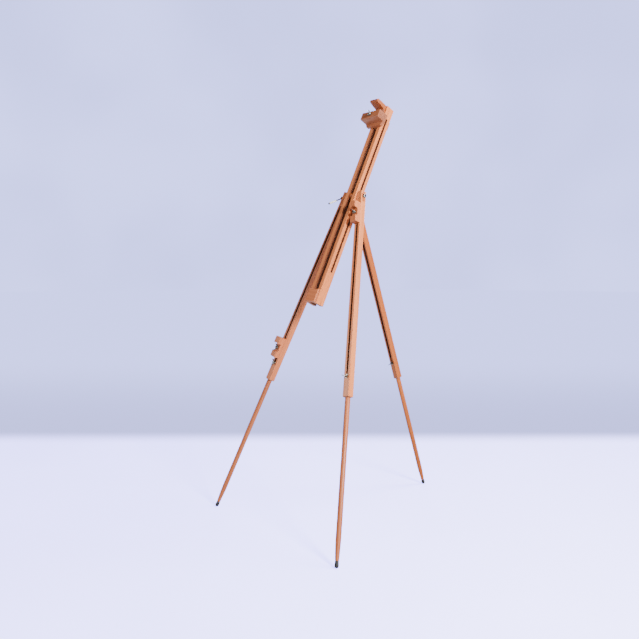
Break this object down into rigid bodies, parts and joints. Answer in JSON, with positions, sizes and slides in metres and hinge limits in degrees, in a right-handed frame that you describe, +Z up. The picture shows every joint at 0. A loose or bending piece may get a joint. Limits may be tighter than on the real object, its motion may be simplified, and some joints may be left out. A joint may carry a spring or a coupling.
{
  "type": "tripod field easel",
  "caption": "Folding wooden tripod easel: slotted tilting mast with a top hook and sliding clamp, telescopic legs with rubber feet, canvas rests and wing nuts.",
  "frame": {"origin": "on the floor, in the middle of the footprint of the easel as it stands", "axes": "+Z up, -Y towards the painter and the canvas, +X and -X towards the two front legs"},
  "size_m": [0.8204, 0.961, 1.8112],
  "materials": {
    "beech": "satin varnished beech",
    "beech_dark": "satin varnished beech, darker board",
    "beech_dowel": "satin varnished beech dowel",
    "steel": "zinc plated, dull bright",
    "fibre": "dark vulcanised fibre",
    "sleeve": "off-white smooth plastic",
    "rubber": "matt black rubber"
  },
  "bodies": {
    "head": {"rear_leg_upper": "beech_dark", "main_bolt": "steel", "inner_washer_right": "fibre", "inner_washer_left": "fibre", "outer_washer_right": "steel", "outer_washer_left": "steel"},
    "lever": {"lever_nut": "steel", "lever_sleeve": "sleeve", "lever_tip": "rubber"},
    "mast_guide": {"guide_shoe_right": "steel", "guide_shoe_left": "steel"},
    "mast": {"mast_rail_right": "beech", "mast_rail_left": "beech", "crosspiece_dowel_right": "beech_dowel", "crosspiece_dowel_left": "beech_dowel", "mast_crosspiece": "beech", "top_hook": "beech_dark", "hook_dowel_rear": "beech_dowel", "hook_dowel_front": "beech_dowel"},
    "clamp": {"top_clamp_jaw": "beech_dark", "top_clamp_plate": "beech_dark", "top_clamp_bolt": "steel", "top_clamp_washer": "steel"},
    "clamp_nut": {"top_clamp_wing_nut": "steel"},
    "rear_foot_section": {"leg_extension_rear": "beech_dowel", "foot_rear": "rubber", "lock_bolt_rear": "steel", "lock_washer_rear": "steel"},
    "rear_lock_nut": {"lock_wing_nut_rear": "steel"},
    "right_swivel": {"swivel_block_right": "beech_dark"},
    "right_leg": {"front_leg_upper_right": "beech", "splay_pin_right": "steel"},
    "right_foot_section": {"leg_extension_right": "beech_dowel", "foot_right": "rubber", "lock_bolt_right": "steel", "lock_washer_right": "steel"},
    "right_lock_nut": {"lock_wing_nut_right": "steel"},
    "right_rest": {"canvas_rest_right": "beech", "rest_bolt_right": "steel", "rest_washer_right": "steel"},
    "right_rest_nut": {"rest_wing_nut_right": "steel"},
    "left_swivel": {"swivel_block_left": "beech_dark"},
    "left_leg": {"front_leg_upper_left": "beech", "splay_pin_left": "steel"},
    "left_foot_section": {"leg_extension_left": "beech_dowel", "foot_left": "rubber", "lock_bolt_left": "steel", "lock_washer_left": "steel"},
    "left_lock_nut": {"lock_wing_nut_left": "steel"},
    "left_rest": {"canvas_rest_left": "beech", "rest_bolt_left": "steel", "rest_washer_left": "steel"},
    "left_rest_nut": {"rest_wing_nut_left": "steel"}
  },
  "joints": [
    {"name": "lever_turn", "type": "hinge", "parent": "head", "child": "lever", "pos_m": [0, -0.0122, 1.38], "axis": [1, 0, 0], "range_deg": [-160, 25]},
    {"name": "mast_tilt", "type": "hinge", "parent": "head", "child": "mast_guide", "pos_m": [0, -0.0122, 1.38], "axis": [1, 0, 0], "range_deg": [-64, 45.4]},
    {"name": "mast_slide", "type": "slide", "parent": "mast_guide", "child": "mast", "axis": [0, 0.4384, 0.8988], "range_m": [-0.3, 0.35]},
    {"name": "clamp_slide", "type": "slide", "parent": "mast", "child": "clamp", "axis": [0, 0.4384, 0.8988], "range_m": [-0.3, 0.005]},
    {"name": "clamp_nut_turn", "type": "hinge", "parent": "clamp", "child": "clamp_nut", "pos_m": [0, 0.08162, 1.74368], "axis": [0, -0.8988, 0.4384], "continuous": true},
    {"name": "right_leg_tilt", "type": "hinge", "parent": "head", "child": "right_swivel", "pos_m": [0, -0.0122, 1.38], "axis": [1, 0, 0], "range_deg": [-25, 38]},
    {"name": "right_leg_splay", "type": "hinge", "parent": "right_swivel", "child": "right_leg", "pos_m": [0.0485, -0.01665, 1.36673], "axis": [0, 0.9481, -0.318], "range_deg": [0, 13.86]},
    {"name": "right_leg_length", "type": "slide", "parent": "right_leg", "child": "right_foot_section", "axis": [-0.2395, 0.3087, 0.9205], "range_m": [0, 0.56]},
    {"name": "right_rest_slide", "type": "slide", "parent": "right_leg", "child": "right_rest", "axis": [-0.2395, 0.3087, 0.9205], "range_m": [-0.56, 0]},
    {"name": "right_lock_nut_turn", "type": "hinge", "parent": "right_foot_section", "child": "right_lock_nut", "pos_m": [0.23477, -0.27139, 0.6559], "axis": [0, -0.9481, 0.318], "continuous": true},
    {"name": "right_rest_nut_turn", "type": "hinge", "parent": "right_rest", "child": "right_rest_nut", "pos_m": [0.06637, -0.07077, 1.30851], "axis": [0, -0.9481, 0.318], "continuous": true},
    {"name": "left_leg_tilt", "type": "hinge", "parent": "head", "child": "left_swivel", "pos_m": [0, -0.0122, 1.38], "axis": [1, 0, 0], "range_deg": [-25, 38]},
    {"name": "left_leg_splay", "type": "hinge", "parent": "left_swivel", "child": "left_leg", "pos_m": [-0.0485, -0.01665, 1.36673], "axis": [0, -0.9481, 0.318], "range_deg": [0, 13.86]},
    {"name": "left_leg_length", "type": "slide", "parent": "left_leg", "child": "left_foot_section", "axis": [0.2395, 0.3087, 0.9205], "range_m": [0, 0.008]},
    {"name": "left_rest_slide", "type": "slide", "parent": "left_leg", "child": "left_rest", "axis": [0.2395, 0.3087, 0.9205], "range_m": [-0.008, 0.55]},
    {"name": "left_lock_nut_turn", "type": "hinge", "parent": "left_foot_section", "child": "left_lock_nut", "pos_m": [-0.23477, -0.27139, 0.6559], "axis": [0, -0.9481, 0.318], "continuous": true},
    {"name": "left_rest_nut_turn", "type": "hinge", "parent": "left_rest", "child": "left_rest_nut", "pos_m": [-0.21824, -0.26649, 0.72491], "axis": [0, -0.9481, 0.318], "continuous": true},
    {"name": "rear_leg_length", "type": "slide", "parent": "head", "child": "rear_foot_section", "axis": [0, -0.333, 0.9429], "range_m": [0, 0.56]},
    {"name": "rear_lock_nut_turn", "type": "hinge", "parent": "rear_foot_section", "child": "rear_lock_nut", "pos_m": [0, 0.23691, 0.62804], "axis": [0, -0.9429, -0.333], "continuous": true}
  ]
}
